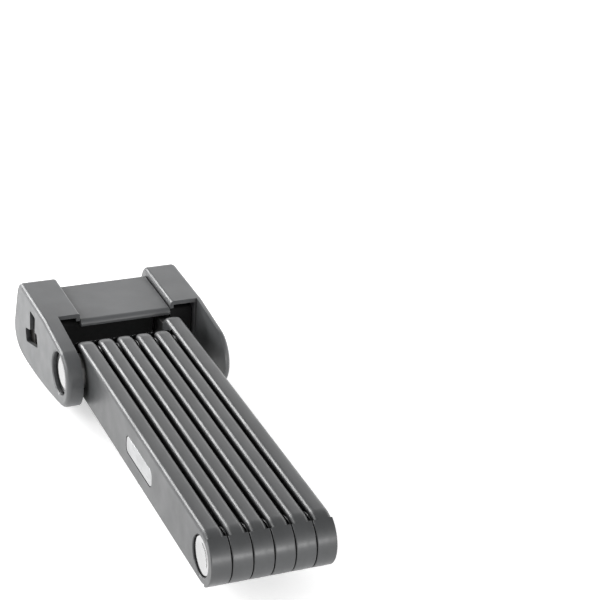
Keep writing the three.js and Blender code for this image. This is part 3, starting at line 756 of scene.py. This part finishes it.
KEY_Y = HINGE_Y + 39
KEY_Z = AXIS_Z - 2
STEM_FRONT, STEM_BACK = KEY_Y - 4.8, KEY_Y + 2.4
STEM_RISE = 10.4
STEM_DROP = 1
STEM_CORNER = 0.9
FOOT_HALF_LENGTH = 8.7
FOOT_HALF_HEIGHT = 3.1
FOOT_DROP = 1.4
FOOT_CORNER = 1.2
FOOT_LEAN = -0.3
KEYHOLE_STEPS = 5


def keyhole(x0, x1):
    """The keyhole's two cutters: the upright slot and the leaning foot, with rounded corners."""
    low, high = KEY_Z - STEM_DROP, KEY_Z + STEM_RISE
    stem = rounded(STEM_FRONT, low, STEM_BACK, high, STEM_CORNER, KEYHOLE_STEPS)
    half_y, half_z = FOOT_HALF_LENGTH, FOOT_HALF_HEIGHT
    flat_foot = rounded(-half_y, -half_z, half_y, half_z, FOOT_CORNER, KEYHOLE_STEPS)
    cos, sin = math.cos(FOOT_LEAN), math.sin(FOOT_LEAN)
    foot = [
        (KEY_Y + y * cos - z * sin, KEY_Z - FOOT_DROP + y * sin + z * cos) for y, z in flat_foot
    ]
    return [slab("cutter", stem, x0, x1), slab("cutter", foot, x0, x1)]


# The steel crossbar's way through the covers: from the hinge axis along Y, and up and down.
CROSSBAR_FRONT = 26.2
CROSSBAR_BACK = 54.7
CROSSBAR_DROP = 17
CROSSBAR_RISE = 9
COVER_PAST = 4  # how far its cutter passes a cover's inner face


def crossbar_way(x0, x1):
    front, back = HINGE_Y + CROSSBAR_FRONT, HINGE_Y + CROSSBAR_BACK
    return block(x0, front, AXIS_Z - CROSSBAR_DROP, x1, back, AXIS_Z + CROSSBAR_RISE)


cylinder_low, cylinder_high = box_mm("cylinder_body")
cylinder_radius = (cylinder_high.z - cylinder_low.z) / 2 + FIT
ear_head = (body_high.z - body_low.z) / 2 + 2 * FIT
HEAD_SEAT_END = LEFT_INNER - 1.5
HEAD_SEAT_FLARE = 0.45
outside = LEFT_LOW.x - ROUND_PAST
seat = (outside, HEAD_SEAT_END, HINGE_Y, AXIS_Z, ear_head, HEAD_SEAT_FLARE, LEFT_LOW.x)
left_cutters = [
    disc_cutter(*seat),
    disc_cutter(cylinder_low.x - FIT, LEFT_HIGH.x + COVER_PAST, KEY_Y, KEY_Z, cylinder_radius),
    *keyhole(outside, cylinder_low.x),
    crossbar_way(HOUSING_LOW.x - FIT, LEFT_HIGH.x + COVER_PAST),
]
ear_cover("left_cover", LEFT_LOW.x, LEFT_INNER, LEFT_HIGH.x, left_cutters)
right_cutters = [
    tongue_slot(),
    crossbar_way(RIGHT_LOW.x - COVER_PAST, HOUSING_HIGH.x + FIT),
]
ear_cover("right_cover", RIGHT_HIGH.x, RIGHT_INNER, RIGHT_LOW.x, right_cutters)


BARREL_CORNER = 2.2
BARREL_RIM = 0.25
BARREL_LIP = 4
WINDOW_TOP = 2.6
WINDOW_BASE = 5


def barrel():
    """The middle cover: a rounded saddle with a lip over the dark front window."""
    low, high = BARREL_LOW, BARREL_HIGH
    outline = rounded(low.y, low.z, high.y, high.z, BARREL_CORNER, 10)
    whole = slab("barrel_cover_moulded", outline, low.x, high.x, BARREL_RIM, BARREL_RIM, 2)
    front, back = low.y + BARREL_LIP, high.y - SHELL
    inside = rounded(front, low.z + SHELL, back, high.z - SHELL, BARREL_CORNER, 6)
    base, top = low.z + WINDOW_BASE, high.z - WINDOW_TOP
    window = block(low.x - PAST, low.y - PAST, base, high.x + PAST, low.y + PAST, top)
    tunnel = slab("cutter", inside, low.x - COVER_PAST, high.x + COVER_PAST)
    combine(whole, [tunnel, window, tongue_slot()])
    finish_edges(whole)
    stand_for(whole, "barrel_cover", "lock_body", BODY_PLASTIC)


barrel()

# ---- Inner pieces keep their CAD shape ----

for node, material in (
    ("lock_housing", SHADE_BLACK_STEEL),
    ("cylinder_body", SHADE_DARK_BRASS),
    ("key_plug", SHADE_DARK_BRASS),
    ("cylinder_pin", WASHER_STEEL),
    ("drive_cam", WASHER_STEEL),
    ("locking_bolt", BOLT_STEEL),
):
    dress_node(node, material)

# ---- Floor, light and camera ----


FLOOR_HALF = 3000


def floor():
    """A matt white floor that glows a little, so that it fades into the background."""
    bm = bmesh.new()
    half = FLOOR_HALF
    corners = [(-half, -half, 0), (half, -half, 0), (half, half, 0), (-half, half, 0)]
    bm.faces.new([bm.verts.new(c) for c in corners])
    obj = make("floor", bm)
    n = Nodes("pale_floor")
    cloud = n.noise(3, 3)
    n.set(
        Base_Color=n.mix(n.remap(cloud, 0.3, 0.7, 0, 1), grey(0.9), grey(0.93)),
        Roughness=n.remap(n.noise(40, 3), 0.3, 0.7, 0.75, 0.85),
        Emission_Color=(1, 1, 1, 1),
        Emission_Strength=0.5,
    )
    dress(obj, n.material)


def area_light(name, towards, distance, width, height, power, centre=(0, 0, 0.015)):
    """A soft rectangular light at distance metres along towards, aimed at the lock."""
    data = bpy.data.lights.new(name, "AREA")
    data.shape = "RECTANGLE"
    data.size, data.size_y = width, height
    data.energy = power
    obj = bpy.data.objects.new(name, data)
    bpy.context.scene.collection.objects.link(obj)
    direction = Vector(towards).normalized()
    obj.location = Vector(centre) + direction * distance
    obj.rotation_mode = "QUATERNION"
    obj.rotation_quaternion = (-direction).to_track_quat("-Z", "Y")
    return obj


# Brightness of the surroundings by the sine of the height above the horizon.
SKY = (
    (-1.0, 0.9),
    (0.0, 0.9),
    (0.12, 1.6),
    (0.34, 1.6),
    (0.46, 1.35),
    (0.57, 0.75),
    (0.72, 0.4),
    (1.0, 0.35),
)
SKY_TOP = 2.0
# And its share from the left to the right: where it starts and ends along X, and how much there.
SIDE_X = (-0.45, 0.5)
SIDE_SHARE = (0.45, 1.25)


def world():
    """White surroundings that are brightest just over the horizon, and dim overhead and at the left."""
    surroundings = bpy.data.worlds.new("studio")
    bpy.context.scene.world = surroundings
    surroundings.use_nodes = True
    tree = surroundings.node_tree
    background = tree.nodes["Background"]
    background.inputs["Color"].default_value = (1, 1, 1, 1)
    place = tree.nodes.new("ShaderNodeTexCoord")
    parts = tree.nodes.new("ShaderNodeSeparateXYZ")
    tree.links.new(place.outputs["Generated"], parts.inputs[0])
    height = tree.nodes.new("ShaderNodeMapRange")
    height.inputs["From Min"].default_value = -1.0
    tree.links.new(parts.outputs["Z"], height.inputs["Value"])
    ramp = tree.nodes.new("ShaderNodeValToRGB")
    ramp.color_ramp.interpolation = "EASE"
    while len(ramp.color_ramp.elements) < len(SKY):
        ramp.color_ramp.elements.new(0.5)
    for element, (sine, level) in zip(ramp.color_ramp.elements, SKY):
        element.position = (sine + 1) / 2
        element.color = (level / SKY_TOP,) * 3 + (1,)
    tree.links.new(height.outputs[0], ramp.inputs["Fac"])
    side = tree.nodes.new("ShaderNodeMapRange")
    side.interpolation_type = "SMOOTHSTEP"
    side.inputs["From Min"].default_value, side.inputs["From Max"].default_value = SIDE_X
    side.inputs["To Min"].default_value, side.inputs["To Max"].default_value = SIDE_SHARE
    tree.links.new(parts.outputs["X"], side.inputs["Value"])
    dim = tree.nodes.new("ShaderNodeMath")
    dim.operation = "MULTIPLY"
    tree.links.new(ramp.outputs["Color"], dim.inputs[0])
    tree.links.new(side.outputs[0], dim.inputs[1])
    strength = tree.nodes.new("ShaderNodeMath")
    strength.operation = "MULTIPLY"
    strength.inputs[1].default_value = SKY_TOP
    tree.links.new(dim.outputs[0], strength.inputs[0])
    tree.links.new(strength.outputs[0], background.inputs["Strength"])


CAMERA_AT = (-0.26085, -0.6799, 0.44419)
CAMERA_AZIMUTH = math.radians(-24.642)
CAMERA_ELEVATION = math.radians(27.005)
CAMERA_ROLL = math.radians(3.917)
CAMERA_LENS = 126.0


def camera():
    """The photograph's view: an azimuth, an elevation and a small roll."""
    data = bpy.data.cameras.new("camera")
    data.lens = CAMERA_LENS
    data.sensor_width = 36
    data.clip_start = 0.01
    obj = bpy.data.objects.new("camera", data)
    bpy.context.scene.collection.objects.link(obj)
    forward = Vector(
        (
            -math.sin(CAMERA_AZIMUTH) * math.cos(CAMERA_ELEVATION),
            math.cos(CAMERA_AZIMUTH) * math.cos(CAMERA_ELEVATION),
            -math.sin(CAMERA_ELEVATION),
        )
    )
    level_right = forward.cross(Vector((0, 0, 1))).normalized()
    level_up = level_right.cross(forward)
    right = level_right * math.cos(CAMERA_ROLL) + level_up * math.sin(CAMERA_ROLL)
    up = right.cross(forward)
    obj.matrix_world = Matrix(
        (
            (right.x, up.x, -forward.x, CAMERA_AT[0]),
            (right.y, up.y, -forward.y, CAMERA_AT[1]),
            (right.z, up.z, -forward.z, CAMERA_AT[2]),
            (0, 0, 0, 1),
        )
    )
    bpy.context.scene.camera = obj


floor()
world()
# Each light's name, direction from the lock, distance, width, height and power.
for light in (
    ("back_left", (-0.45, 0.81, 0.4), 1.0, 0.5, 0.35, 8),
    ("left", (-0.95, 0.1, 0.5), 1.2, 0.8, 0.6, 8.5),
    ("front", (0.2, -0.95, 0.15), 1.3, 0.5, 0.25, 4),
):
    area_light(*light)
camera()
bpy.context.scene.view_settings.view_transform = "Standard"
